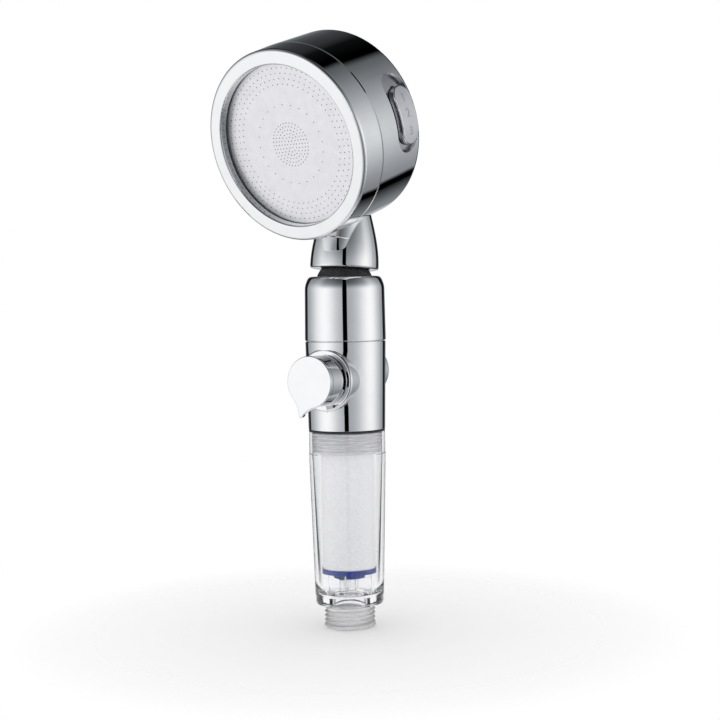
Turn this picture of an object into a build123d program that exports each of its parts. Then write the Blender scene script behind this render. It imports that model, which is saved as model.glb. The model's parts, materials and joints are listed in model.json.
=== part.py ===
from build123d import *
import math
import os

# Handheld shower head. Millimetres, +Z up the handle, origin at the centre of the hose inlet's end face.
# The flow knob is on the -Y side.

# Hose inlet (G 1/2, drawn at its major diameter) and clear filter tube
INLET_R = 10.478
INLET_BORE_R = 6.5
INLET_LENGTH = 9.9
TUBE_R_LOW = 14.0
TUBE_R_HIGH = 15.7
TUBE_FLOOR_TOP = 13.4
TUBE_WALL = 2.4
TUBE_SKIRT_R = 15.55
TUBE_THREAD_R = 14.15
TUBE_TOP = 80.7
SPIGOT_PITCH = 1.45
SPIGOT_ROOT_R = 13.4
Z_SHOULDER = 71.7
RIB_COUNT = 4
RIB_ANGLE = 13.0
RIB_WIDTH = 2.0

# Filter
FILTER_R = 10.9
FILTER_CORE_R = 4.0
FILTER_CAP_R = 11.2
Z_FILTER_LOW = 24.6
Z_FILTER_HIGH = 77.0

# Valve section
Z_VALVE_LOW = 81.4
Z_VALVE_HIGH = 117.5
SLEEVE_R_LOW = 15.67
SLEEVE_R_HIGH = 16.38
CORE_R = 14.2
PASSAGE_R = 4.0
Z_KNOB = 102.2
BOSS_R = 12.7
BOSS_FACE = 16.4
SPINDLE_R = 6.5
SPINDLE_REAR = -11.3
SPINDLE_SHOULDER = 16.2
STUB_R = 3.6
SPINDLE_GROOVES = [-7.6, 9.6]
KNOB_R = 10.33
KNOB_BACK = 16.8
KNOB_FACE = 27.5
KNOB_TIP = 14.9
KNOB_OPEN_TO_REST = 18.0
REAR_HOLE_R = 7.6
REAR_CAP_R = 10.3
REAR_CAP_FACE = 17.7
REAR_CAP_RISE = 2.6

# Collar and ball joint
COLLAR_R_LOW = 16.5
COLLAR_R_HIGH = 16.24
COLLAR_BORE_R = 13.6
Z_COLLAR_TOP = 143.8
COLLAR_ROUND = 3.0
COLLAR_CROWN = 5.8
Z_BALL = 139.5
BALL_R = 12.0
BALL_TOP = 7.4
STEM_R = 6.9
STEM_TOP = 18.9
BALL_TILT_BACK = 5.0
HEAD_YAW = -5.7

# Neck, as radius at a height above the ball's centre
NECK_BOTTOM = 7.1
NECK_FORWARD = 0.6
NECK_R = 13.95
NECK_RECESS_R = 10.4
NECK_R_MIDDLE = 13.1
NECK_R_TOP = 10.8
NECK_MIDDLE = 17.3
NECK_TOP = 27.2

# Drum. Its own frame has +Z out of the spray face, +X towards the slider and +Y up
FACE_FORWARD = 40.87
FACE_UP = 50.93
FACE_TILT = 23.0
DRUM_R = 38.24
DRUM_DEPTH = 38.4
DRUM_CROWN = 1.0
DRUM_EDGE = 2.5
SEAM = 11.57
BEZEL_R = 37.85
WINDOW_R = 31.8
SPIGOT_R = 36.6
FRONT_BORE_R = 35.0
REAR_BORE_R = 34.2
BORE_STEP = 11.7
BACK_WALL = 36.0
DUCT_Y = -27.5
DUCT_R = 5.5
POST_ANGLES = [45, 135, 210, 330]
POST_R = 30.0

# Spray face
PLATE_FRONT = 4.0
PLATE_THICKNESS = 0.6
PLATE_R = 34.8
HOLE_R = 0.21
SPRAY_RINGS = [(0.0, 1), (1.5, 6), (2.9, 12), (4.3, 18), (5.7, 24), (7.1, 30), (8.5, 36), (15.6, 24),
               (23.6, 60), (25.7, 66), (27.8, 72), (29.9, 78)]

# Mode selector
CLICK = 4.2
MODE_COUNT = 3
SLIDER_ANGLE = 3.65
SLIDER_DEPTH = 29.9
SLIDER_LENGTH = 23.0
SLIDER_WIDTH = 10.6
SLIDER_R = 39.5
SLIDER_UNDER_R = 37.05
RECESS_ANGLE = 6.0
RECESS_LENGTH = 31.6
RECESS_WIDTH = 13.5
RECESS_DEPTH = 29.05
RECESS_FLOOR_R = 36.74
PORT_R = 26.5
PORT_ANGLES = [90.0, 210.0, 330.0]
CHAMBER_R = [26.5, 15.5, 6.0]
SCREW_ANGLES = [30, 150, 270]
SCREW_R = 16.5
DETENT_R = 22.0
DETENT_BALL_R = 1.6
DETENT_DEPTH = 31.95

RUNNING = 0.05
BIG = 200.0


def disc(radius, low, high):
    """Cylinder about Z between two heights."""
    return Pos(0, 0, low) * Cylinder(radius, high - low, align=(Align.CENTER, Align.CENTER, Align.MIN))


def ring(outer, inner, low, high):
    return disc(outer, low, high) - disc(inner, low - 1, high + 1)


def turned(*outline):
    """Solid turned about Z from a closed outline of edges in the XZ plane."""
    return revolve(make_face(Wire(list(outline))), Axis.Z)


def turned_polygon(points):
    return revolve(make_face(Polyline([(r, 0, z) for r, z in points], close=True)), Axis.Z)


def o_ring(radius, wire, height):
    return Pos(0, 0, height) * Torus(radius, wire)


def bar(start, end, width, low, high, angle=0.0):
    """Radial bar from one radius to another, at an angle about Z."""
    block = Box(end - start, width, high - low, align=(Align.MIN, Align.CENTER, Align.MIN))
    return Rot(0, 0, angle) * Pos(start, 0, low) * block


def radial_slot(length, width, depth, angle, inner, outer):
    """Long round-ended prism that runs outwards at an angle, its long side along the circumference."""
    outline = Plane.YZ.offset(inner) * SlotOverall(length, width)
    return Rot(0, 0, angle) * Pos(0, 0, -depth) * extrude(outline, amount=outer - inner)


def screw(shank_r, head_r, head, length):
    """Screw with its head above Z = 0 and its shank below."""
    body = disc(head_r, 0, head) + disc(shank_r, -length, 0)
    slot = Pos(0, 0, head) * Box(head_r * 1.3, head_r * 0.28, head * 0.8)
    cross = Pos(0, 0, head) * Box(head_r * 0.28, head_r * 1.3, head * 0.8)
    return body - slot - cross


# ---------------------------------------------------------------- filter handle

def filter_tube():
    wall_low = TUBE_R_LOW - TUBE_WALL
    shell = turned_polygon([
        (INLET_BORE_R, 0.0), (INLET_R - 0.9, 0.0), (INLET_R, 0.9), (INLET_R, INLET_LENGTH),
        (TUBE_R_LOW - 0.9, INLET_LENGTH), (TUBE_R_LOW - 0.26, INLET_LENGTH + 0.26),
        (TUBE_R_LOW, INLET_LENGTH + 0.9), (TUBE_R_HIGH, Z_SHOULDER), (TUBE_SKIRT_R, Z_SHOULDER + 0.15),
        (TUBE_SKIRT_R, TUBE_TOP), (TUBE_THREAD_R, TUBE_TOP),
        (TUBE_THREAD_R, Z_SHOULDER - 0.9), (wall_low, TUBE_FLOOR_TOP + 1.4),
        (wall_low - 1.2, TUBE_FLOOR_TOP), (INLET_BORE_R, TUBE_FLOOR_TOP)])
    rib_top = Z_FILTER_LOW - 4.2
    ribs = ring(3.4, 2.2, TUBE_FLOOR_TOP + 1.2, rib_top)
    for i in range(RIB_COUNT):
        angle = RIB_ANGLE + i * 360 / RIB_COUNT
        ribs += bar(3.0, 9.2, RIB_WIDTH, TUBE_FLOOR_TOP, rib_top, angle)
        ribs += bar(6.9, 9.2, RIB_WIDTH, rib_top - 1, Z_FILTER_LOW - 2.1, angle)
    return shell + ribs


def tube_gasket():
    """Flat rubber ring between the tube's rim and the valve."""
    return ring(TUBE_SKIRT_R, TUBE_THREAD_R, TUBE_TOP + 0.05, Z_VALVE_LOW - 0.05)


def filter_element():
    return ring(FILTER_R, FILTER_CORE_R, Z_FILTER_LOW, Z_FILTER_HIGH)


def filter_cap_lower():
    flange = disc(FILTER_CAP_R, Z_FILTER_LOW - 1.8, Z_FILTER_LOW)
    boss = disc(6.5, Z_FILTER_LOW - 4.1, Z_FILTER_LOW - 1.8)
    plug = disc(FILTER_CORE_R - 0.1, Z_FILTER_LOW, Z_FILTER_LOW + 4)
    return flange + boss + plug


def filter_cap_upper():
    flange = disc(FILTER_CAP_R, Z_FILTER_HIGH, Z_FILTER_HIGH + 1.6)
    plug = disc(FILTER_CORE_R - 0.1, Z_FILTER_HIGH - 4, Z_FILTER_HIGH)
    outlet = disc(5.5, Z_FILTER_HIGH + 1.6, Z_FILTER_HIGH + 6.4)
    return flange + plug + outlet - disc(2.8, Z_FILTER_HIGH - 5, Z_FILTER_HIGH + 7)


def filter_gasket():
    return ring(6.9, 5.55, Z_FILTER_HIGH + 4.0, Z_FILTER_HIGH + 7.2)


# ---------------------------------------------------------------- valve section

def on_knob_axis(solid):
    """Turns a solid made about Z to stand out of the handle's front at the knob."""
    return Pos(0, 0, Z_KNOB) * Rot(90, 0, 0) * solid


def spigot_ridge(height):
    """One crest of the spigot's coarse thread, drawn as a ring."""
    crest = TUBE_THREAD_R - 0.05
    inside = SPIGOT_ROOT_R - 0.3
    return turned_polygon([(inside, height), (SPIGOT_ROOT_R, height), (crest, height + 0.4),
                           (crest, height + 0.8), (SPIGOT_ROOT_R, height + 1.2), (inside, height + 1.2)])


def valve_core():
    """Plastic core: ridged spigot for the tube, cross bore for the spindle, top for the collar."""
    spigot = ring(SPIGOT_ROOT_R, 11.6, Z_SHOULDER + 0.3, Z_VALVE_LOW)
    for i in range(6):
        spigot += spigot_ridge(Z_SHOULDER + 0.45 + i * SPIGOT_PITCH)
    middle = disc(CORE_R, Z_VALVE_LOW, Z_VALVE_HIGH)
    top = disc(COLLAR_BORE_R - 0.1, Z_VALVE_HIGH, Z_BALL - 10.8)
    core = spigot + middle + top
    core -= disc(11.6, Z_VALVE_LOW - 1, Z_VALVE_LOW + 0.6)
    core -= disc(6.95, Z_VALVE_LOW, Z_FILTER_HIGH + 7.25)
    core -= disc(PASSAGE_R, Z_VALVE_LOW, Z_BALL)
    core -= disc(7.2, Z_BALL - 15.5, Z_BALL)
    core -= disc(6.2, 92.4, Z_KNOB)
    core -= on_knob_axis(disc(SPINDLE_R + RUNNING, -BIG / 8, BIG / 8))
    core -= on_knob_axis(disc(REAR_HOLE_R - 0.15, -BIG / 8, SPINDLE_REAR + 0.3))
    return core


def valve_sleeve():
    """Chrome shell round the core, with the round boss that the knob turns on."""
    shell = turned_polygon([(CORE_R + RUNNING, Z_VALVE_LOW), (SLEEVE_R_LOW - 0.35, Z_VALVE_LOW),
                            (SLEEVE_R_LOW, Z_VALVE_LOW + 0.35), (SLEEVE_R_HIGH, Z_VALVE_HIGH - 0.35),
                            (SLEEVE_R_HIGH - 0.35, Z_VALVE_HIGH), (CORE_R + RUNNING, Z_VALVE_HIGH)])
    boss = disc(BOSS_R, 2, BOSS_FACE)
    boss = fillet(boss.edges().group_by(Axis.Z)[-1], 1.0)
    boss = on_knob_axis(boss) - disc(CORE_R + RUNNING, Z_VALVE_LOW, Z_VALVE_HIGH)
    sleeve = shell + boss
    sleeve -= on_knob_axis(disc(SPINDLE_R + 0.1, 0, BIG / 4))
    sleeve -= on_knob_axis(disc(REAR_HOLE_R, -BIG / 4, 0))
    return sleeve


def valve_seal():
    """Rubber seat with a saddle top that the spindle turns against."""
    seat = ring(6.15, PASSAGE_R, 92.45, 96.6)
    return seat - on_knob_axis(disc(SPINDLE_R + RUNNING, -BIG / 8, BIG / 8))


def rear_cap():
    """Round cap over the spindle's rear end, its underside curved to the sleeve and its plug off its centre."""
    cap = disc(REAR_CAP_R, 8, REAR_CAP_FACE)
    cap = Pos(0, -REAR_CAP_RISE, 0) * fillet(cap.edges().group_by(Axis.Z)[-1], 0.9)
    place = Pos(0, 0, Z_KNOB) * Rot(-90, 0, 0)
    saddle = turned_polygon([(0, Z_VALVE_LOW), (SLEEVE_R_LOW + RUNNING, Z_VALVE_LOW),
                             (SLEEVE_R_HIGH + RUNNING, Z_VALVE_HIGH), (0, Z_VALVE_HIGH)])
    return place * cap - saddle + place * disc(REAR_HOLE_R - 0.1, 14.9, 16.6)


def at_knob(solid):
    """Places a knob piece, made with its pointer down, at the valve's resting angle."""
    return on_knob_axis(Rot(0, 0, -KNOB_OPEN_TO_REST) * solid)


def pointer_outline():
    """Teardrop tail: two hollow flanks from the cap's edge to a small round tip."""
    root_r = (KNOB_R * math.sin(math.radians(34)), -KNOB_R * math.cos(math.radians(34)))
    root_l = (-root_r[0], root_r[1])
    tip_r = (0.75, -KNOB_TIP + 0.5)
    tip_l = (-0.75, -KNOB_TIP + 0.5)
    right = ThreePointArc(root_r, (2.35, -11.55), tip_r)
    tip = ThreePointArc(tip_r, (0, -KNOB_TIP), tip_l)
    left = ThreePointArc(tip_l, (-2.35, -11.55), root_l)
    base = Line(root_l, root_r)
    return make_face(Wire([right, tip, left, base]))


def knob():
    """Lever cap with a teardrop pointer, a thin groove, and a hollow skirt with its hub."""
    face = disc(KNOB_R, KNOB_FACE - 1.8, KNOB_FACE)
    tail = Pos(0, 0, KNOB_FACE - 1.8) * extrude(pointer_outline(), amount=1.8)
    cap = face + tail
    cap = fillet(cap.edges().group_by(Axis.Z)[-1], 0.35)
    neck = disc(KNOB_R - 0.6, KNOB_FACE - 2.3, KNOB_FACE - 1.8)
    skirt = turned_polygon([(0, KNOB_FACE - 2.3), (KNOB_R - 0.15, KNOB_FACE - 2.3), (KNOB_R, KNOB_BACK + 0.3),
                            (KNOB_R - 0.3, KNOB_BACK), (0, KNOB_BACK)])
    hollow = ring(KNOB_R - 1.8, 5.6, KNOB_BACK - 1, KNOB_FACE - 3.2)
    stub = stub_solid(STUB_R + 0.03, KNOB_BACK - 1, 25.3)
    return at_knob(cap + neck + skirt - hollow - stub)


def stub_solid(radius, low, high):
    """D-shaped drive stub."""
    flat = Pos(0, -BIG / 2 - 2.6, low) * Box(BIG, BIG, high - low, align=(Align.CENTER, Align.CENTER, Align.MIN))
    return disc(radius, low, high) - flat


def spindle():
    """Plug of the on/off valve, with a cross port, two O-ring grooves and the drive stub."""
    plug = disc(SPINDLE_R, SPINDLE_REAR, SPINDLE_SHOULDER)
    plug -= Rot(90, 0, 0) * disc(PASSAGE_R, -BIG / 8, BIG / 8)
    for height in SPINDLE_GROOVES:
        plug -= ring(SPINDLE_R + 1, SPINDLE_R - 1.55, height - 0.95, height + 0.95)
    plug -= disc(2.05, SPINDLE_REAR - 1, -5.4)
    return at_knob(plug + stub_solid(STUB_R, SPINDLE_SHOULDER, 25.0))


def spindle_oring(height):
    return at_knob(o_ring(SPINDLE_R - 0.75, 0.75, height))


def retaining_washer():
    return at_knob(ring(7.1, 2.2, SPINDLE_REAR - 1.0, SPINDLE_REAR))


def retaining_screw():
    return at_knob(Pos(0, 0, SPINDLE_REAR - 1.0) * Rot(180, 0, 0) * screw(2.0, 3.4, 2.2, 6.4))


# ---------------------------------------------------------------- collar and ball joint

def collar():
    """Ring nut with a round-edged top, whose lip holds the ball down."""
    height = Z_COLLAR_TOP
    shoulder = Z_BALL - 2.2
    side = height - COLLAR_CROWN
    mid = 1 - math.sqrt(0.5)
    outline = [
        Line((COLLAR_BORE_R, 0, Z_VALVE_HIGH + 0.15), (COLLAR_R_LOW - 0.35, 0, Z_VALVE_HIGH + 0.15)),
        Line((COLLAR_R_LOW - 0.35, 0, Z_VALVE_HIGH + 0.15), (COLLAR_R_LOW, 0, Z_VALVE_HIGH + 0.5)),
        Line((COLLAR_R_LOW, 0, Z_VALVE_HIGH + 0.5), (COLLAR_R_HIGH, 0, side)),
        Spline((COLLAR_R_HIGH, 0, side), (COLLAR_R_HIGH - mid * COLLAR_ROUND, 0, height - mid * COLLAR_CROWN),
               (COLLAR_R_HIGH - COLLAR_ROUND, 0, height), tangents=[(0, 0, 1), (-1, 0, 0)]),
        Line((COLLAR_R_HIGH - COLLAR_ROUND, 0, height), (10.5, 0, height)),
        Line((10.5, 0, height), (10.5, 0, shoulder)),
        Line((10.5, 0, shoulder), (COLLAR_BORE_R, 0, shoulder)),
        Line((COLLAR_BORE_R, 0, shoulder), (COLLAR_BORE_R, 0, Z_VALVE_HIGH + 0.15))]
    socket = Pos(0, 0, Z_BALL) * Sphere(BALL_R + RUNNING) + disc(BALL_R + RUNNING, shoulder - 1, Z_BALL)
    return turned(*outline) - socket


def ball_seat():
    """Cup ring under the ball, free to turn in the collar's bore."""
    cup = ring(COLLAR_BORE_R - RUNNING, 6.0, Z_BALL - 10.5, Z_BALL - 2.5)
    cup -= Pos(0, 0, Z_BALL) * Sphere(BALL_R + RUNNING)
    cup -= o_ring(11.28, 1.05, Z_BALL - 6.51)
    return cup - ring(COLLAR_BORE_R + 1, 12.2, Z_BALL - 9.6, Z_BALL - 8.2)


def ball_seal():
    return o_ring(11.28, 1.0, Z_BALL - 6.51)


def seat_oring():
    return o_ring(12.88, 0.65, Z_BALL - 8.9)


def swivel_ball():
    """Hollow ball with a flat top and a grooved stem, about its own centre."""
    ball = Sphere(BALL_R) - disc(BIG, BALL_TOP, BIG) - disc(BIG, -BIG, -10.2)
    ball += disc(STEM_R, BALL_TOP - 1, STEM_TOP)
    ball -= ring(STEM_R + 1, STEM_R - 1.45, 11.3, 13.1)
    ball -= ring(STEM_R + 1, 6.0, 17.15, 18.05)
    return ball - disc(PASSAGE_R, -BIG, BIG)


def stem_oring():
    return o_ring(STEM_R - 0.7, 0.7, 12.2)


def stem_clip():
    """Snap ring with a gap, in the stem's upper groove."""
    return ring(8.3, 6.05, 17.2, 18.0) - bar(5, 9, 2.4, 17, 18.2)


# ---------------------------------------------------------------- head, in the drum's own frame

def neck_to_drum(solid):
    """Moves a solid from the neck's frame (ball centre, +Z up the neck) to the drum's frame."""
    return DRUM_IN_NECK.inverse() * solid


def drum_blank():
    """Outer drum behind the seam, with a rounded rear edge and a shallow crown."""
    rear = -DRUM_DEPTH
    bend = DRUM_EDGE * (1 - math.sqrt(0.5))
    outline = [
        Line((0, 0, -SEAM), (DRUM_R - 0.35, 0, -SEAM)),
        Line((DRUM_R - 0.35, 0, -SEAM), (DRUM_R, 0, -SEAM - 0.35)),
        Line((DRUM_R, 0, -SEAM - 0.35), (DRUM_R, 0, rear + DRUM_EDGE)),
        ThreePointArc((DRUM_R, 0, rear + DRUM_EDGE), (DRUM_R - bend, 0, rear + bend), (DRUM_R - DRUM_EDGE, 0, rear)),
        ThreePointArc((DRUM_R - DRUM_EDGE, 0, rear), ((DRUM_R - DRUM_EDGE) / 2, 0, rear - DRUM_CROWN * 0.75),
                      (0, 0, rear - DRUM_CROWN)),
        Line((0, 0, rear - DRUM_CROWN), (0, 0, -SEAM))]
    return turned(*outline)


def neck_blank():
    """Outer neck in its own frame: a short bell that narrows into the drum."""
    outline = [
        Line((0, 0, NECK_BOTTOM), (NECK_R - 0.9, 0, NECK_BOTTOM)),
        ThreePointArc((NECK_R - 0.9, 0, NECK_BOTTOM), (NECK_R - 0.26, 0, NECK_BOTTOM + 0.26),
                      (NECK_R, 0, NECK_BOTTOM + 0.9)),
        Spline((NECK_R, 0, NECK_BOTTOM + 0.9), (NECK_R_MIDDLE, 0, NECK_MIDDLE), (NECK_R_TOP, 0, NECK_TOP),
               (9.2, 0, 33.0)),
        Line((9.2, 0, 33.0), (9.2, 0, 37.0)),
        Line((9.2, 0, 37.0), (0, 0, 37.0)),
        Line((0, 0, 37.0), (0, 0, NECK_BOTTOM))]
    return Pos(0, -NECK_FORWARD, 0) * turned(*outline)


def detent_track():
    """Raised pad on the back wall with a groove and three notches for the detent ball."""
    pad = ring(DETENT_R + 3, DETENT_R - 3, -BACK_WALL - 0.5, -33.2)
    sector = Rot(0, 0, RECESS_ANGLE) * Pos(DETENT_R, 0, -BACK_WALL) * Box(20, 17, 10)
    pad = pad & sector
    pad -= o_ring(DETENT_R, DETENT_BALL_R + 0.15, -DETENT_DEPTH)
    for i in range(MODE_COUNT):
        notch = Pos(DETENT_R, 0, -DETENT_DEPTH - 0.25) * Sphere(DETENT_BALL_R + 0.1)
        pad -= Rot(0, 0, SLIDER_ANGLE + i * CLICK) * notch
    return pad


def head_housing():
    """Chrome drum and neck in one moulding, with the inlet duct, screw posts and the slider's recess."""
    shell = drum_blank() + disc(SPIGOT_R, -SEAM - 1, -PLATE_FRONT - 0.9)
    shell += neck_to_drum(neck_blank()) & disc(2 * DRUM_R, -DRUM_DEPTH, 0)
    shell -= disc(FRONT_BORE_R, -BORE_STEP, 1)
    shell -= disc(REAR_BORE_R, -BACK_WALL, 1)
    duct = Pos(0, DUCT_Y, 0) * disc(DUCT_R + 1.7, -BACK_WALL - 0.5, -21.8)
    riser = neck_to_drum(disc(DUCT_R + 2.5, 25, 37)) & disc(REAR_BORE_R + 1, -BACK_WALL - 0.5, -21.8)
    shell += duct + riser
    for angle in POST_ANGLES:
        shell += Rot(0, 0, angle) * Pos(POST_R, 0, 0) * disc(3.3, -BACK_WALL - 0.5, -21.55)
        shell -= Rot(0, 0, angle) * Pos(POST_R, 0, 0) * disc(1.25, -30, -15)
    shell += detent_track()
    shell -= Pos(0, DUCT_Y, 0) * disc(DUCT_R, -33.5, -15)
    shell -= neck_to_drum(disc(DUCT_R, 10, 38))
    shell -= neck_to_drum(disc(9.0, 16.9, 21.5) + disc(STEM_R + RUNNING, 0, 17))
    shell -= neck_to_drum(disc(NECK_RECESS_R, 0, BALL_TOP + 0.3))
    recess = radial_slot(RECESS_LENGTH, RECESS_WIDTH, RECESS_DEPTH, RECESS_ANGLE, 30, 50)
    shell -= recess & ring(50, RECESS_FLOOR_R, -BACK_WALL - 2, -SEAM)
    shell -= radial_slot(18.4, 5.4, SLIDER_DEPTH, SLIDER_ANGLE + CLICK, 30, 50)
    return shell


def bezel_ring():
    """Chrome front ring, round at its outer edge, with a lip that holds the face plate."""
    edge = 1.4
    bend = edge * (1 - math.sqrt(0.5))
    rear = -SEAM + 0.07
    outline = [
        Line((BEZEL_R - edge, 0, 0), (WINDOW_R + 0.8, 0, 0)),
        ThreePointArc((WINDOW_R + 0.8, 0, 0), (WINDOW_R + 0.24, 0, -0.24), (WINDOW_R, 0, -0.8)),
        Line((WINDOW_R, 0, -0.8), (WINDOW_R, 0, -PLATE_FRONT + 0.8)),
        Line((WINDOW_R, 0, -PLATE_FRONT + 0.8), (SPIGOT_R + RUNNING, 0, -PLATE_FRONT + 0.8)),
        Line((SPIGOT_R + RUNNING, 0, -PLATE_FRONT + 0.8), (SPIGOT_R + RUNNING, 0, rear)),
        Line((SPIGOT_R + RUNNING, 0, rear), (DRUM_R - 0.35, 0, rear)),
        Line((DRUM_R - 0.35, 0, rear), (DRUM_R, 0, rear + 0.35)),
        Line((DRUM_R, 0, rear + 0.35), (BEZEL_R, 0, -edge)),
        ThreePointArc((BEZEL_R, 0, -edge), (BEZEL_R - bend, 0, -bend), (BEZEL_R - edge, 0, 0))]
    return turned(*outline)


def face_gasket():
    return ring(34.6, 32.7, -PLATE_FRONT, -PLATE_FRONT + 0.8)


def face_plate():
    """Thin steel plate with rings of fine spray holes."""
    holes = []
    for radius, count in SPRAY_RINGS:
        for i in range(count):
            turn = math.radians(i * 360 / count)
            holes.append(Pos(radius * math.cos(turn), radius * math.sin(turn)) * Circle(HOLE_R))
    sheet = Circle(PLATE_R) - holes
    return Pos(0, 0, -PLATE_FRONT - PLATE_THICKNESS) * extrude(sheet, amount=PLATE_THICKNESS)


def port_slot(radius, angle, length, width, low, high):
    """Radial round-ended slot, as a solid to cut with."""
    outline = Pos(radius, 0, low) * SlotOverall(length, width)
    return Rot(0, 0, angle) * extrude(outline, amount=high - low)


def distributor():
    """Disc with three ring chambers in front and three feed channels behind."""
    body = disc(34.9, -11.6, -4.7)
    for outer, inner in ((32.4, 20.6), (19.4, 11.6), (10.4, 0.1)):
        body -= ring(outer, inner, -9.0, 0)
    body -= ring(36, 33.4, -7.9, -6.1)
    for angle, chamber in zip(PORT_ANGLES, CHAMBER_R):
        if chamber == PORT_R:
            body -= port_slot(PORT_R, angle, 7.5, 1.7, -12, -8)
        else:
            body -= bar(chamber, PORT_R + 4, 3.4, -12, -10.1, angle)
            body -= port_slot(chamber + 1.5, angle, 4.0, 3.0, -11, -8)
    for angle in SCREW_ANGLES:
        body -= Rot(0, 0, angle) * Pos(SCREW_R, 0, 0) * disc(1.15, -12, -9.4)
    return body - disc(2.7, -12, -11.0)


def distributor_oring():
    return o_ring(34.15, 0.7, -7.0)


def port_plate():
    """Cover over the feed channels, with the three ports and the shaft's pivot."""
    body = disc(33.6, -13.2, -11.65)
    for angle in PORT_ANGLES:
        body -= port_slot(PORT_R, angle, 7.5, 1.7, -14, -11)
    for angle in SCREW_ANGLES:
        place = Rot(0, 0, angle) * Pos(SCREW_R, 0, 0)
        body -= place * disc(1.3, -14, -11)
        body -= place * disc(2.4, -14, -12.4)
    return body - disc(2.5 + RUNNING, -14, -11)


def port_plate_screws():
    one = Pos(0, 0, -12.45) * Rot(180, 0, 0) * screw(1.1, 2.2, 0.7, 2.9)
    return [Rot(0, 0, angle) * Pos(SCREW_R, 0, 0) * one for angle in SCREW_ANGLES]


def chamber_cover():
    """Partition that closes the wet chamber, with the inlet spigot and the shaft's gland."""
    body = disc(34.1, -21.5, -19.0) + disc(6.5, -25.0, -19.0)
    body += Pos(0, DUCT_Y, 0) * disc(5.4, -26.0, -19.0)
    body -= Pos(0, DUCT_Y, 0) * disc(3.4, -27, -18)
    body -= Pos(0, DUCT_Y, 0) * ring(6.5, 4.2, -24.6, -23.2)
    body -= ring(36, 32.65, -21.1, -19.4)
    body -= disc(3.0 + RUNNING, -27, -18)
    body -= disc(4.6, -26, -23.4)
    for angle in POST_ANGLES:
        place = Rot(0, 0, angle) * Pos(POST_R, 0, 0)
        body -= place * disc(1.5, -22, -18)
        body -= place * disc(2.8, -20.5, -18)
    return body


def cover_oring():
    return o_ring(33.4, 0.7, -20.25)


def inlet_oring():
    return Pos(0, DUCT_Y, 0) * o_ring(4.85, 0.6, -23.9)


def cover_screws():
    one = Pos(0, 0, -20.45) * screw(1.2, 2.6, 1.4, 8.0)
    return [Rot(0, 0, angle) * Pos(POST_R, 0, 0) * one for angle in POST_ANGLES]


def selector_disc():
    """Turning disc whose three slots meet the ports one at a time."""
    body = disc(33.0, -15.8, -13.5) - disc(3.02, -17, -12)
    for i, angle in enumerate(PORT_ANGLES):
        body -= port_slot(PORT_R, angle - i * CLICK, 7.5, 1.7, -17, -13)
    return body


def port_seals():
    seals = []
    for i, angle in enumerate(PORT_ANGLES):
        pad = port_slot(PORT_R, angle - i * CLICK, 10.0, 4.2, -13.5, -13.25)
        seals.append(pad - port_slot(PORT_R, angle - i * CLICK, 7.6, 1.8, -14, -13))
    return seals


def selector_shaft():
    body = disc(3.0, -31.6, -13.3) + disc(2.5, -13.4, -11.9)
    body -= ring(5, 2.05, -22.9, -21.4)
    return body - disc(1.25, -32, -25)


def shaft_oring():
    return o_ring(2.55, 0.45, -22.15)


def selector_arm():
    """Dry-side arm from the shaft out through the slot, with the detent's pocket."""
    hub = disc(6.0, -31.6, -26.0)
    beam = bar(3.0, 36.3, 7.0, -31.6, -28.2, SLIDER_ANGLE)
    tongue = bar(36.0, 38.2, 5.0, -31.4, -28.4, SLIDER_ANGLE)
    pocket = Rot(0, 0, SLIDER_ANGLE) * Pos(DETENT_R, 0, 0) * disc(DETENT_BALL_R + 0.1, -33, -28.9)
    return hub + beam + tongue - disc(3.02, -33, -25) - pocket


def arm_screw():
    return Pos(0, 0, -31.6) * Rot(180, 0, 0) * screw(1.2, 3.2, 1.6, 5.5)


def mode_slider():
    """Raised pad with round ends, curved to the drum, with a pocket for the arm's tongue."""
    pad = radial_slot(SLIDER_LENGTH, SLIDER_WIDTH, SLIDER_DEPTH, SLIDER_ANGLE, 30, 50)
    pad = pad & ring(SLIDER_R, SLIDER_UNDER_R, -BACK_WALL - 1, -SEAM)
    top = [edge for edge in pad.edges() if edge.center().X ** 2 + edge.center().Y ** 2 > (SLIDER_R - 0.6) ** 2]
    pad = fillet(top, 0.5)
    return pad - bar(36.0, 38.25, 5.1, -31.45, -28.35, SLIDER_ANGLE)


def detent_ball():
    return Rot(0, 0, SLIDER_ANGLE) * Pos(DETENT_R, 0, -DETENT_DEPTH) * Sphere(DETENT_BALL_R)


def detent_spring():
    """Small coil spring behind the detent ball."""
    path = Wire([Edge.make_helix(pitch=0.45, height=1.15, radius=1.1)])
    section = Plane(origin=path @ 0, z_dir=path % 0) * Circle(0.13)
    coil = sweep(section, path=path)
    return Rot(0, 0, SLIDER_ANGLE) * Pos(DETENT_R, 0, -30.2) * coil


# ---------------------------------------------------------------- placing and writing

NECK_AT_REST = Pos(0, 0, Z_BALL) * Rot(0, 0, HEAD_YAW) * Rot(-BALL_TILT_BACK, 0, 0)
TILT = math.radians(FACE_TILT)
DRUM_IN_NECK = Location(Plane(origin=(0, -FACE_FORWARD, FACE_UP), x_dir=(1, 0, 0),
                              z_dir=(0, -math.cos(TILT), -math.sin(TILT))))
DRUM_AT_REST = NECK_AT_REST * DRUM_IN_NECK

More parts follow.
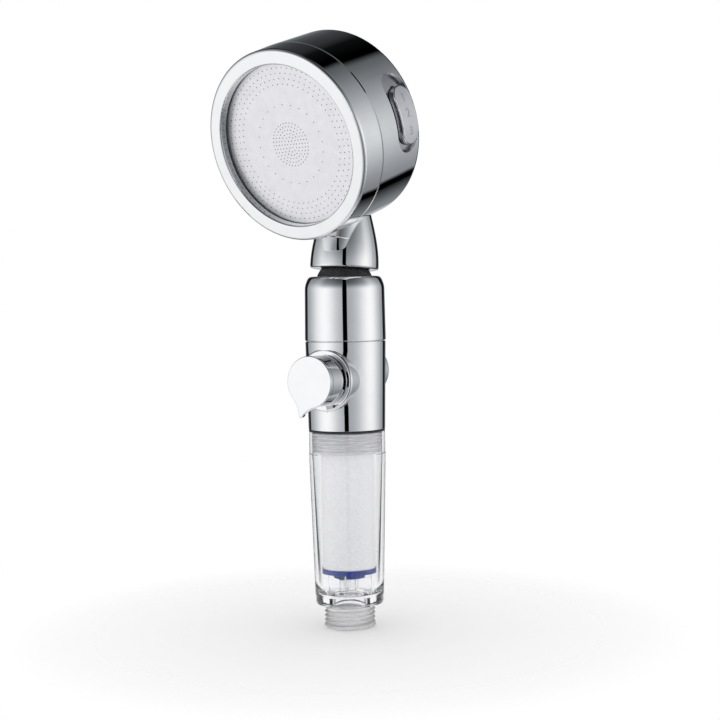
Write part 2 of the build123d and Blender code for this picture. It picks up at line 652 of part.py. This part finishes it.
HANDLE = {
    "filter_tube": filter_tube, "tube_gasket": tube_gasket, "filter_element": filter_element,
    "filter_cap_lower": filter_cap_lower, "filter_cap_upper": filter_cap_upper,
    "filter_gasket": filter_gasket, "valve_core": valve_core, "valve_sleeve": valve_sleeve,
    "valve_seal": valve_seal, "rear_cap": rear_cap, "collar": collar, "knob": knob, "spindle": spindle,
    "spindle_oring_rear": lambda: spindle_oring(SPINDLE_GROOVES[0]),
    "spindle_oring_front": lambda: spindle_oring(SPINDLE_GROOVES[1]),
    "retaining_washer": retaining_washer, "retaining_screw": retaining_screw,
    "ball_seat": ball_seat, "ball_seal": ball_seal, "seat_oring": seat_oring}
NECK = {"swivel_ball": swivel_ball, "stem_oring": stem_oring, "stem_clip": stem_clip}
DRUM = {
    "head_housing": head_housing, "bezel_ring": bezel_ring, "face_gasket": face_gasket,
    "face_plate": face_plate, "distributor": distributor, "distributor_oring": distributor_oring,
    "port_plate": port_plate, "port_plate_screws": port_plate_screws, "chamber_cover": chamber_cover,
    "cover_oring": cover_oring, "cover_screws": cover_screws, "inlet_oring": inlet_oring,
    "selector_disc": selector_disc, "port_seals": port_seals, "selector_shaft": selector_shaft,
    "shaft_oring": shaft_oring, "selector_arm": selector_arm, "arm_screw": arm_screw,
    "mode_slider": mode_slider, "detent_ball": detent_ball, "detent_spring": detent_spring}


def write(node, made, place):
    """Writes one node's STEP; a node may hold several separate solids."""
    pieces = made if isinstance(made, list) else [made]
    solids = [solid for piece in pieces for solid in (place * piece).solids()]
    shape = solids[0] if len(solids) == 1 else Compound(children=solids)
    export_step(shape, f"parts/{node}.step")


def main():
    os.makedirs("parts", exist_ok=True)
    for group, place in ((HANDLE, Location()), (NECK, NECK_AT_REST), (DRUM, DRUM_AT_REST)):
        for node, make in group.items():
            write(node, make(), place)


main()
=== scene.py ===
import json
import math

import bmesh
import bpy
import numpy as np
from mathutils import Matrix, Vector


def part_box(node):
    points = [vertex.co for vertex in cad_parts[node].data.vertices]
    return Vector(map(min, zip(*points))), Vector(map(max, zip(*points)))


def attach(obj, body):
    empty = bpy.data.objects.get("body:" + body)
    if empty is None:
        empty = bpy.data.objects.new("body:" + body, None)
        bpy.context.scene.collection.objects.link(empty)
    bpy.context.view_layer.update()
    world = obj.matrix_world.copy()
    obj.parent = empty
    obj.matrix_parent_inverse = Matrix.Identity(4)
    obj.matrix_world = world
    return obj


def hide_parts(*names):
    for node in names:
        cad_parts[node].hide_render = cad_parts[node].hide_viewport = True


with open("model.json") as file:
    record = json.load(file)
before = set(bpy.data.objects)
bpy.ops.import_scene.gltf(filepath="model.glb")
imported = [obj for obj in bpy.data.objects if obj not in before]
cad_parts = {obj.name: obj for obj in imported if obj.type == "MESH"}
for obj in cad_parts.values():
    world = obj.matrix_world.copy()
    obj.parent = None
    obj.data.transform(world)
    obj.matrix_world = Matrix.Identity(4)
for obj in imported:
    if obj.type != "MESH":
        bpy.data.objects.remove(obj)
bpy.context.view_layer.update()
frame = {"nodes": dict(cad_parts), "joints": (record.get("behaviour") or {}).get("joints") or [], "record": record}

NODES = frame["nodes"]
JOINTS = {joint["name"]: joint for joint in frame["joints"]}
SLOTS = {part["node"]: part["material_slot"] for part in frame["record"]["subparts"]}
MM = 0.001

# Camera
CAMERA_AT = (0.3242, -0.5151, 0.1396)
CAMERA_TURN = 31.64
CAMERA_DOWN = 2.83
CAMERA_ROLL = -0.95
CAMERA_LENS = 74.58

# Hose inlet's thread (G 1/2) on the clear tube
INLET_R = 10.478
INLET_THREAD_LOW = 0.9
INLET_THREAD_HIGH = 9.9
INLET_PITCH = 1.814
INLET_DEPTH = 1.16

# Drum, slider's pad and recess: radii, depths behind the face and angles round the drum's axis. The recess's zone,
# where its painted shade goes, is taken a little larger than the cut itself.
DRUM_R = 38.24
PAD_R = 39.5
PAD_DEPTH = 29.9
RECESS_DEPTH = 29.05
RECESS_HALF_WIDTH = 6.9
RECESS_FLOOR_R = 36.6
RECESS_TURN = 6.0
RECESS_HALF_TURN = 26.0

# Numbers on the pad, each with its angle
DIGITS = (("1", 13.3), ("2", 4.4), ("3", -5.8))
DIGIT_SIZE = 5.0
DIGIT_RISE = 0.10
DIGIT_BEVEL = 0.03
DIGIT_ROOT = 0.15

# Filter cylinder: a wound surface of waves, each with its count round, its slant and its start
FILTER_CORE_R = 4.0
FILTER_WAVE = 0.09
FILTER_END_EASE = 0.25
FILTER_TURNS = 240
FILTER_STEPS = 200
FILTER_WAVES = ((9, 1.1, 0.3), (-14, 1.7, 1.9), (23, 2.6, 4.0), (-31, 3.1, 2.2), (5, -0.7, 5.1))

# Studio: azimuths from the camera's side and elevations, in degrees
LEFT_LAMP = 61.0
LEFT_LAMP_LOW = 84.0
RIGHT_LAMP = 76.0
LAMP_LEVEL = 0.93
CAMERA_SLIT = 5.5, 7.5
BACK_FLAG = 133.0, 137.5
CROWN_SIDE = 124.0, 136.0
CROWN_RISE = 44.0, 54.0
GROUND_EDGE = 160.0, 177.0
GROUND_LEVEL = 0.58
CLEAR_FLAG_NEAR = 110.0, 115.0
CLEAR_FLAG_FAR = 139.0, 144.0
CLEAR_BOOST = 0.68
COOL_RED = -0.08
COOL_BLUE = 0.07

# Floor, in metres
FLOOR_R = 0.6
FLOOR_FADE = 0.03, 0.14


# ---------------------------------------------------------------- node helpers

class Tree:
    """Small helper that adds and links shader nodes."""

    def __init__(self, tree):
        self.tree = tree
        self.nodes = tree.nodes
        self.nodes.clear()

    def add(self, kind, inputs=None, **settings):
        node = self.nodes.new(kind)
        for key, value in settings.items():
            setattr(node, key, value)
        for key, value in (inputs or {}).items():
            self.put(node.inputs[key], value)
        return node

    def put(self, socket, value):
        if isinstance(value, bpy.types.NodeSocket):
            self.tree.links.new(value, socket)
        else:
            socket.default_value = value

    def math(self, operation, *values):
        node = self.add("ShaderNodeMath", operation=operation)
        for socket, value in zip(node.inputs, values):
            self.put(socket, value)
        return node.outputs[0]

    def ramp(self, value, low, high, to_low=0.0, to_high=1.0, shape="SMOOTHSTEP"):
        """Maps low..high to to_low..to_high, clamped."""
        node = self.add("ShaderNodeMapRange", {"Value": value, "From Min": low, "From Max": high,
                                               "To Min": to_low, "To Max": to_high}, interpolation_type=shape)
        return node.outputs[0]

    def noise(self, where, scale, detail=3.0, roughness=0.5):
        node = self.add("ShaderNodeTexNoise", {"Vector": where, "Scale": scale, "Detail": detail,
                                               "Roughness": roughness})
        return node.outputs["Fac"]

    def stretch(self, where, scale):
        return self.add("ShaderNodeMapping", {"Vector": where, "Scale": scale}).outputs[0]

    def bump(self, height, distance, strength=1.0, below=None):
        inputs = {"Height": height, "Distance": distance, "Strength": strength}
        if below is not None:
            inputs["Normal"] = below
        return self.add("ShaderNodeBump", inputs).outputs[0]

    def mix(self, share, first, second):
        node = self.add("ShaderNodeMix", data_type="RGBA")
        self.put(node.inputs["Factor"], share)
        self.put(node.inputs["A"], first)
        self.put(node.inputs["B"], second)
        return node.outputs["Result"]

    def surface(self, **inputs):
        """Principled shader joined to the output. Names are the shader's own sockets."""
        shader = self.add("ShaderNodeBsdfPrincipled", {key.replace("_", " "): value for key, value in inputs.items()})
        self.add("ShaderNodeOutputMaterial", {"Surface": shader.outputs[0]})
        return shader


def new_material(name):
    """New material, its node helper and the object coordinates that drive its detail."""
    material = bpy.data.materials.new(name)
    material.use_nodes = True
    tree = Tree(material.node_tree)
    where = tree.add("ShaderNodeTexCoord").outputs["Object"]
    return material, tree, where


def rgb(red, green, blue):
    return (red, green, blue, 1.0)


# ---------------------------------------------------------------- materials

def chrome(name, roughness=0.028, wave=1.0):
    """Bright plating on moulded plastic: slow waviness, fine polishing haze and sparse hairline scratches."""
    material, tree, where = new_material(name)
    slow = tree.noise(where, 55.0, 1.0)
    peel = tree.noise(where, 900.0, 2.0)
    normal = tree.bump(peel, 0.6e-6, 0.6, tree.bump(slow, 2.2e-5 * wave))
    haze = tree.noise(where, 160.0, 4.0, 0.6)
    lines = tree.noise(tree.stretch(where, (2600.0, 2600.0, 60.0)), 1.0, 2.0)
    scratch = tree.ramp(lines, 0.72, 0.80, 0.0, 0.05)
    rough = tree.math("ADD", tree.ramp(haze, 0.35, 0.75, roughness * 0.7, roughness * 1.6, "LINEAR"), scratch)
    tone = tree.ramp(haze, 0.3, 0.8)
    tree.surface(Base_Color=tree.mix(tone, rgb(0.872, 0.876, 0.886), rgb(0.838, 0.844, 0.856)), Metallic=1.0,
                 Roughness=rough, Normal=normal)
    return material


def satin_chrome(name, light, dark, rough_low, rough_high):
    """Matt plating of the slider's pad and its recess."""
    material, tree, where = new_material(name)
    grain = tree.noise(where, 5200.0, 2.0)
    cloud = tree.noise(where, 240.0, 3.0)
    tree.surface(Base_Color=tree.mix(tree.ramp(cloud, 0.3, 0.7), rgb(*light), rgb(*dark)),
                 Metallic=1.0, Roughness=tree.ramp(cloud, 0.3, 0.7, rough_low, rough_high, "LINEAR"),
                 Normal=tree.bump(grain, 4e-6, 0.5))
    return material


def face_steel():
    """Blasted stainless sheet, a little mottled."""
    material, tree, where = new_material("face_steel")
    grain = tree.noise(where, 3800.0, 3.0, 0.7)
    cloud = tree.noise(where, 300.0, 4.0, 0.6)
    tree.surface(Base_Color=tree.mix(tree.ramp(cloud, 0.3, 0.7), rgb(0.895, 0.89, 0.915), rgb(0.875, 0.87, 0.895)),
                 Metallic=1.0, Roughness=tree.ramp(cloud, 0.3, 0.7, 0.37, 0.42, "LINEAR"),
                 Normal=tree.bump(grain, 4e-6, 0.5))
    return material


def stainless():
    """Turned stainless steel of the screws and other small parts."""
    material, tree, where = new_material("stainless_steel")
    turning = tree.noise(tree.stretch(where, (200.0, 200.0, 4000.0)), 1.0, 2.0)
    tree.surface(Base_Color=tree.mix(tree.ramp(turning, 0.3, 0.7), rgb(0.62, 0.62, 0.63), rgb(0.54, 0.54, 0.55)),
                 Metallic=1.0, Roughness=tree.ramp(turning, 0.3, 0.7, 0.16, 0.30, "LINEAR"),
                 Normal=tree.bump(turning, 2e-6, 0.5))
    return material


def clear_plastic():
    """Clear moulded tube: faint flow lines, a light haze and a frosted hose thread."""
    material, tree, where = new_material("clear_plastic")
    flow = tree.noise(tree.stretch(where, (260.0, 260.0, 30.0)), 1.0, 2.0)
    haze = tree.noise(where, 420.0, 3.0)
    height = tree.add("ShaderNodeSeparateXYZ", {"Vector": where}).outputs["Z"]
    frost = tree.ramp(height, (INLET_THREAD_HIGH - 1.0) * MM, (INLET_THREAD_HIGH + 0.3) * MM, 1.0, 0.0)
    rough = tree.math("MULTIPLY_ADD", frost, 0.11, tree.ramp(haze, 0.4, 0.8, 0.015, 0.06, "LINEAR"))
    tree.surface(Base_Color=tree.mix(frost, rgb(0.948, 0.950, 0.958), rgb(0.99, 0.99, 0.995)), Roughness=rough,
                 IOR=1.49, Transmission_Weight=tree.math("MULTIPLY_ADD", frost, -0.52, 1.0),
                 Normal=tree.bump(flow, 3e-6, 0.6))
    return material


def moulded(name, first, second, rough_low, rough_high, grain=4e-6, subsurface=0.0):
    """Moulded plastic: two close tones, faint flow marks and a fine grain."""
    material, tree, where = new_material(name)
    cloud = tree.noise(where, 190.0, 3.0)
    fine = tree.noise(where, 4200.0, 2.0)
    tree.surface(Base_Color=tree.mix(tree.ramp(cloud, 0.3, 0.7), rgb(*first), rgb(*second)),
                 Roughness=tree.ramp(cloud, 0.3, 0.7, rough_low, rough_high, "LINEAR"),
                 Subsurface_Weight=subsurface, Subsurface_Scale=0.002, Normal=tree.bump(fine, grain, 0.5))
    return material


def rubber():
    """Black rubber with a faint grey bloom."""
    material, tree, where = new_material("black_rubber")
    bloom = tree.noise(where, 350.0, 4.0, 0.65)
    fine = tree.noise(where, 5200.0, 2.0)
    tone = tree.ramp(bloom, 0.35, 0.75)
    tree.surface(Base_Color=tree.mix(tone, rgb(0.022, 0.022, 0.023), rgb(0.045, 0.045, 0.046)),
                 Roughness=tree.ramp(bloom, 0.3, 0.7, 0.55, 0.75, "LINEAR"), Normal=tree.bump(fine, 8e-6, 0.6))
    return material


def fibre():
    """Melt-blown fibre: white strands that cross at two slants, with soft shading between them."""
    material, tree, where = new_material("filter_fibre")
    first = tree.noise(tree.stretch(where, (900.0, 900.0, 2600.0)), 1.0, 3.0, 0.65)
    second = tree.noise(where, 2100.0, 4.0, 0.7)
    strands = tree.math("MULTIPLY_ADD", first, 0.6, tree.math("MULTIPLY", second, 0.4))
    tree.surface(Base_Color=tree.mix(tree.ramp(strands, 0.35, 0.65), rgb(0.80, 0.80, 0.81), rgb(0.93, 0.93, 0.94)),
                 Roughness=0.92, Sheen_Weight=0.25, Sheen_Roughness=0.5,
                 Normal=tree.bump(strands, 9e-5, 0.7))
    return material


def make_materials():
    """Materials by slot, with the two matt platings of the slider and its recess; the recess's is darker, as painted
    shade.
    """
    return {
        "chrome_plating": chrome("chrome_plating"),
        "satin_chrome": satin_chrome("satin_chrome", (0.80, 0.795, 0.825), (0.75, 0.745, 0.78), 0.24, 0.34),
        # Darker copy of the pad's satin: painted shade for the recess and the pad's numbers.
        "painted_shade_satin": satin_chrome("painted_shade_satin", (0.66, 0.655, 0.69), (0.60, 0.595, 0.63), 0.14, 0.22),
        "face_steel": face_steel(),
        "stainless_steel": stainless(),
        "clear_plastic": clear_plastic(),
        "pale_plastic": moulded("pale_plastic", (0.74, 0.745, 0.76), (0.66, 0.665, 0.68), 0.30, 0.42, subsurface=0.1),
        "white_plastic": moulded("white_plastic", (0.84, 0.84, 0.83), (0.78, 0.78, 0.77), 0.34, 0.48, subsurface=0.1),
        "black_plastic": moulded("black_plastic", (0.030, 0.030, 0.033), (0.020, 0.020, 0.022), 0.38, 0.52, 6e-6),
        "blue_plastic": moulded("blue_plastic", (0.006, 0.038, 0.30), (0.004, 0.028, 0.24), 0.16, 0.26),
        "filter_fibre": fibre(),
        "black_rubber": rubber(),
    }


# ---------------------------------------------------------------- meshes

def new_piece(name, mesh, body, slot, material, *stands_for):
    """Adds a piece that rides a body, in place of the CAD nodes named."""
    piece = bpy.data.objects.new(name, mesh)
    bpy.context.scene.collection.objects.link(piece)
    mesh.materials.clear()
    mesh.materials.append(material)
    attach(piece, body)
    if stands_for:
        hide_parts(*stands_for)
    return piece


def smooth(mesh, angle=32.0):
    """Smooth shading from the mesh's own shape, with edges sharper than the angle left crisp."""
    if "custom_normal" in mesh.attributes:
        mesh.attributes.remove(mesh.attributes["custom_normal"])
    mesh.shade_smooth()
    mesh.set_sharp_from_angle(angle=math.radians(angle))


def thread_depth(turn):
    """Rounded thread: 0 on the crest and 1 in the root."""
    return 0.5 - 0.5 * math.cos(2 * math.pi * turn)


def cut_thread(mesh, radius, low, high, pitch, depth, steps=12):
    """Replaces a plain cylindrical face about Z by a helical thread that fades out at both ends. Sizes in metres."""
    shape = bmesh.new()
    shape.from_mesh(mesh)
    bmesh.ops.remove_doubles(shape, verts=shape.verts, dist=2e-7)
    near = 3e-6

    def on_wall(vert):
        return abs(math.hypot(vert.co.x, vert.co.y) - radius) < near and low - near < vert.co.z < high + near

    wall = [face for face in shape.faces if all(on_wall(vert) for vert in face.verts)]
    bmesh.ops.delete(shape, geom=wall, context="FACES")
    rims = []
    for height in (low, high):
        rim = [vert for vert in shape.verts if on_wall(vert) and abs(vert.co.z - height) < near]
        rims.append(sorted(rim, key=lambda vert: math.atan2(vert.co.y, vert.co.x)))
    angles = [math.atan2(vert.co.y, vert.co.x) for vert in rims[0]]
    count = max(2, round((high - low) / pitch * steps))
    rings = [rims[0]]
    for i in range(1, count):
        height = low + (high - low) * i / count
        fade = min(1.0, (height - low) / (0.6 * pitch), (high - height) / (0.6 * pitch))
        ring = []
        for angle in angles:
            turn = height / pitch - angle / (2 * math.pi)
            r = radius - depth * fade * thread_depth(turn)
            ring.append(shape.verts.new((r * math.cos(angle), r * math.sin(angle), height)))
        rings.append(ring)
    rings.append(rims[1])
    for lower, upper in zip(rings, rings[1:]):
        n = len(lower)
        for j in range(n):
            shape.faces.new((lower[j], lower[(j + 1) % n], upper[(j + 1) % n], upper[j]))
    bmesh.ops.recalc_face_normals(shape, faces=shape.faces)
    shape.to_mesh(mesh)
    shape.free()


def clear_tube(materials):
    """The clear tube with its hose thread."""
    mesh = NODES["filter_tube"].data.copy()
    mesh.name = "clear_tube"
    cut_thread(mesh, INLET_R * MM, INLET_THREAD_LOW * MM, INLET_THREAD_HIGH * MM, INLET_PITCH * MM, INLET_DEPTH * MM)
    smooth(mesh, 40.0)
    return new_piece("clear_tube", mesh, "handle", "clear_plastic", materials["clear_plastic"], "filter_tube")


def filter_roll(materials):
    """Fibre cylinder with an uneven wound surface, inside the CAD cylinder's bounds."""
    low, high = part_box("filter_element")
    outer, bottom, top = high.x, low.z, high.z
    turn = np.linspace(0, 2 * np.pi, FILTER_TURNS, endpoint=False)
    rise = np.linspace(bottom, top, FILTER_STEPS)
    angle, height = np.meshgrid(turn, rise)
    wound = sum(np.sin(count * angle + slant * height / MM + start) for count, slant, start in FILTER_WAVES)
    radius = outer - FILTER_WAVE * MM * (1 + wound / len(FILTER_WAVES))
    radius[[0, -1]] -= FILTER_END_EASE * MM
    outside = np.stack([radius * np.cos(angle), radius * np.sin(angle), height], -1)
    core = FILTER_CORE_R * MM
    inside = np.stack([core * np.cos(angle), core * np.sin(angle), height], -1)[[0, -1]]
    points = np.concatenate([outside, inside[::-1]]).reshape(-1, 3)
    rows = FILTER_STEPS + 2
    faces = []
    for i in range(rows):
        for j in range(FILTER_TURNS):
            a, b = i * FILTER_TURNS, (i + 1) % rows * FILTER_TURNS
            k = (j + 1) % FILTER_TURNS
            faces.append((a + j, a + k, b + k, b + j))
    mesh = bpy.data.meshes.new("filter_roll")
    mesh.from_pydata(points.tolist(), [], faces)
    smooth(mesh, 50.0)
    return new_piece("filter_roll", mesh, "handle", "filter_fibre", materials["filter_fibre"], "filter_element")


def drum_frame():
    """Centre of the drum's face, its axis out of the face, and the directions to its right and up."""
    out = Vector(JOINTS["mode_select"]["axis"]).normalized()
    right = Vector((0, 0, 1)).cross(out).normalized()
    return Vector(JOINTS["mode_select"]["pos_m"]), out, right, out.cross(right)


def slider_digits(materials):
    """Raised numbers on the slider's pad, wrapped round the drum."""
    centre, out, right, up = drum_frame()
    joined = bmesh.new()
    for digit, angle in DIGITS:
        text = bpy.data.curves.new(digit, "FONT")
        text.body, text.size, text.align_x, text.align_y = digit, DIGIT_SIZE, "CENTER", "CENTER"
        text.extrude, text.bevel_depth, text.resolution_u = 0.5, DIGIT_BEVEL, 6
        writer = bpy.data.objects.new(digit, text)
        flat = bpy.data.meshes.new_from_object(writer)
        for vert in flat.vertices:
            rise = DIGIT_RISE if vert.co.z > 0.51 else DIGIT_RISE - DIGIT_BEVEL if vert.co.z > 0 else -DIGIT_ROOT
            turn = math.radians(angle) + vert.co.y / PAD_R
            spoke = right * math.cos(turn) + up * math.sin(turn)
            vert.co = centre - out * (PAD_DEPTH + vert.co.x) * MM + spoke * (PAD_R + rise) * MM
        joined.from_mesh(flat)
        bpy.data.objects.remove(writer)
        bpy.data.meshes.remove(flat)
    bmesh.ops.remove_doubles(joined, verts=joined.verts, dist=1e-7)
    bmesh.ops.recalc_face_normals(joined, faces=joined.faces)
    mesh = bpy.data.meshes.new("slider_digits")
    joined.to_mesh(mesh)
    joined.free()
    # The numbers take the darker satin, whose tone is painted shade.
    return new_piece("slider_digits", mesh, "mode_selector", "chrome_plating", materials["painted_shade_satin"])


def satin_pad(materials):
    """Matt finish on the slider's curved top, with its rounded rim left bright."""
    centre, out, _, _ = drum_frame()
    mesh = NODES["mode_slider"].data
    mesh.materials.append(materials["satin_chrome"])
    for face in mesh.polygons:
        corners = [mesh.vertices[i].co - centre for i in face.vertices]
        if all((corner - out * corner.dot(out)).length > (PAD_R - 0.02) * MM for corner in corners):
            face.material_index = 1


def recess_painted_shade(materials):
    """Matt plating inside the slider's recess, darker than the pad's as painted shade."""
    centre, out, right, up = drum_frame()
    mesh = NODES["head_housing"].data
    mesh.materials.append(materials["painted_shade_satin"])
    spots = []
    for vert in mesh.vertices:
        arm = vert.co - centre
        turn = math.degrees(math.atan2(arm.dot(up), arm.dot(right)))
        spoke = (arm - out * arm.dot(out)).length / MM
        inside = (abs(turn - RECESS_TURN) < RECESS_HALF_TURN and spoke > RECESS_FLOOR_R
                  and abs(-arm.dot(out) / MM - RECESS_DEPTH) < RECESS_HALF_WIDTH)
        spots.append((inside, spoke))
    for face in mesh.polygons:
        corners = [spots[i] for i in face.vertices]
        # Faces inside the recess take the darker satin, painted shade.
        if all(inside for inside, spoke in corners) and min(spoke for inside, spoke in corners) < DRUM_R - 0.1:
            face.material_index = 1


def dress_cad(materials):
    """Gives each CAD node its slot's material."""
    for name, node in NODES.items():
        material = materials[SLOTS[name]]
        node.data.materials.clear()
        node.data.materials.append(material)


# ---------------------------------------------------------------- studio

def look_direction(tree):
    """Azimuth from the camera's side and elevation, both in degrees, of a direction in the studio."""
    way = tree.add("ShaderNodeTexCoord").outputs["Generated"]
    turned = tree.add("ShaderNodeVectorRotate", {"Vector": way, "Angle": math.radians(90 - CAMERA_TURN)},
                      rotation_type="Z_AXIS").outputs[0]
    parts = tree.add("ShaderNodeSeparateXYZ", {"Vector": turned}).outputs
    azimuth = tree.math("DEGREES", tree.math("ARCTAN2", parts["Y"], parts["X"]))
    elevation = tree.math("DEGREES", tree.math("ARCSINE", parts["Z"]))
    return azimuth, elevation


def bell(tree, value, middle, width):
    """Gaussian hump."""
    off = tree.math("DIVIDE", tree.math("SUBTRACT", value, middle), width)
    return tree.math("EXPONENT", tree.math("MULTIPLY", tree.math("MULTIPLY", off, off), -0.5))


def studio():
    """Light tent: two wide soft lights, a dark slit where the camera stands, dark flags behind and a white ground.
    Surfaces that scatter light are lit by plain white, a little more of it inside the clear tube."""
    world = bpy.data.worlds.new("studio")
    bpy.context.scene.world = world
    world.use_nodes = True
    tree = Tree(world.node_tree)
    times, plus, minus = (lambda *v, kind=kind: tree.math(kind, *v) for kind in ("MULTIPLY", "ADD", "SUBTRACT"))
    azimuth, elevation = look_direction(tree)
    side = tree.math("ABSOLUTE", azimuth)
    right = tree.ramp(azimuth, -10.0, 10.0)
    above = tree.math("MAXIMUM", minus(elevation, 2.0), 0.0)
    below = tree.math("MAXIMUM", minus(2.0, elevation), 0.0)

    left_peak = tree.ramp(elevation, -25.0, -5.0, LEFT_LAMP_LOW, LEFT_LAMP)
    peak = plus(left_peak, times(right, minus(RIGHT_LAMP, left_peak)))
    near_bell = bell(tree, tree.math("MINIMUM", side, peak), peak, 27.0)
    far_bell = bell(tree, tree.math("MAXIMUM", side, peak), peak, tree.ramp(right, 0.0, 1.0, 33.0, 25.0, "LINEAR"))
    base = tree.ramp(side, 60.0, 110.0, 0.36, 0.27)
    lamp = tree.math("MULTIPLY_ADD", times(near_bell, far_bell), minus(LAMP_LEVEL, base), base)
    reach = plus(tree.ramp(side, 60.0, 100.0, 17.5, 30.0), times(right, 3.0))
    up = tree.math("DIVIDE", above, reach)
    down = tree.math("DIVIDE", below, tree.ramp(right, 0.0, 1.0, 90.0, 36.0, "LINEAR"))
    fall = tree.math("DIVIDE", 1.17, plus(1.0, plus(times(up, up), times(down, down))))
    gaps = times(tree.ramp(side, *CAMERA_SLIT), tree.ramp(side, *BACK_FLAG, 1.0, 0.0))
    crown = minus(1.0, times(tree.ramp(side, *CROWN_SIDE), tree.ramp(elevation, *CROWN_RISE)))
    front = times(times(lamp, fall), times(gaps, crown))

    far = tree.math("DIVIDE", tree.math("MAXIMUM", minus(elevation, 5.0), 0.0), 10.5)
    ground = tree.math("DIVIDE", tree.ramp(side, *GROUND_EDGE, 0.0, GROUND_LEVEL), plus(1.0, times(far, far)))
    glow = times(tree.ramp(side, 142.0, 164.0, 0.0, 0.24, "LINEAR"), tree.ramp(elevation, -14.0, 4.0, 1.0, 0.2))
    glow = times(glow, tree.ramp(elevation, 10.0, 50.0, 1.0, 0.1))
    seen = plus(front, tree.math("MAXIMUM", ground, glow))

    path = tree.add("ShaderNodeLightPath").outputs
    tilt = tree.math("ABSOLUTE", elevation)
    clear = tree.math("MINIMUM", path["Transmission Depth"], 1.0)
    behind = plus(times(seen, tree.ramp(side, *CLEAR_FLAG_NEAR, 1.0, 0.0)), tree.ramp(side, *CLEAR_FLAG_FAR))
    behind = tree.math("MAXIMUM", behind, tree.ramp(tilt, 20.0, 34.0, 0.0, 0.86))
    seen = plus(seen, times(clear, minus(behind, seen)))
    plain = tree.math("MAXIMUM", path["Is Camera Ray"], tree.math("MINIMUM", path["Diffuse Depth"], 1.0))
    level = tree.ramp(tilt, 35.0, 50.0, 1.0, 0.0)
    white = tree.math("MULTIPLY_ADD", times(clear, level), CLEAR_BOOST, 1.0)
    value = tree.math("MULTIPLY_ADD", minus(white, seen), plain, seen)
    cool = tree.math("MAXIMUM", times(value, minus(1.0, value)), 0.0)
    colour = tree.add("ShaderNodeCombineColor", {
        "Red": tree.math("MULTIPLY_ADD", cool, COOL_RED, value), "Green": value,
        "Blue": tree.math("MULTIPLY_ADD", cool, COOL_BLUE, value)}).outputs[0]
    background = tree.add("ShaderNodeBackground", {"Color": colour, "Strength": 1.0})
    tree.add("ShaderNodeOutputWorld", {"Surface": background.outputs[0]})


def floor():
    """Plain pale floor that melts into the background."""
    bpy.ops.mesh.primitive_circle_add(vertices=96, radius=FLOOR_R, fill_type="NGON")
    plane = bpy.context.object
    plane.name = "floor"
    plane.location.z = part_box("filter_tube")[0].z
    material, tree, where = new_material("floor")
    parts = tree.add("ShaderNodeSeparateXYZ", {"Vector": where}).outputs
    reach = tree.math("SQRT", tree.math("ADD", tree.math("MULTIPLY", parts["X"], parts["X"]),
                                        tree.math("MULTIPLY", parts["Y"], parts["Y"])))
    clear = tree.ramp(reach, *FLOOR_FADE)
    paint = tree.add("ShaderNodeBsdfPrincipled", {"Base Color": rgb(0.97, 0.97, 0.97), "Roughness": 0.8,
                                                  "Specular IOR Level": 0.0})
    gone = tree.add("ShaderNodeBsdfTransparent")
    both = tree.add("ShaderNodeMixShader", {"Fac": clear})
    tree.put(both.inputs[1], paint.outputs[0])
    tree.put(both.inputs[2], gone.outputs[0])
    tree.add("ShaderNodeOutputMaterial", {"Surface": both.outputs[0]})
    plane.data.materials.append(material)


def camera():
    """Camera at the photo's place."""
    data = bpy.data.cameras.new("camera")
    data.lens = CAMERA_LENS
    data.sensor_width = 36.0
    data.clip_start = 0.01
    eye = bpy.data.objects.new("camera", data)
    bpy.context.scene.collection.objects.link(eye)
    eye.matrix_world = (Matrix.Translation(CAMERA_AT) @ Matrix.Rotation(math.radians(CAMERA_TURN), 4, "Z")
                        @ Matrix.Rotation(math.radians(90 - CAMERA_DOWN), 4, "X")
                        @ Matrix.Rotation(math.radians(CAMERA_ROLL), 4, "Z"))
    bpy.context.scene.camera = eye


camera()
studio()
floor()
bpy.context.scene.view_settings.view_transform = "Standard"
MATERIALS = make_materials()
dress_cad(MATERIALS)
satin_pad(MATERIALS)
recess_painted_shade(MATERIALS)
clear_tube(MATERIALS)
filter_roll(MATERIALS)
slider_digits(MATERIALS)
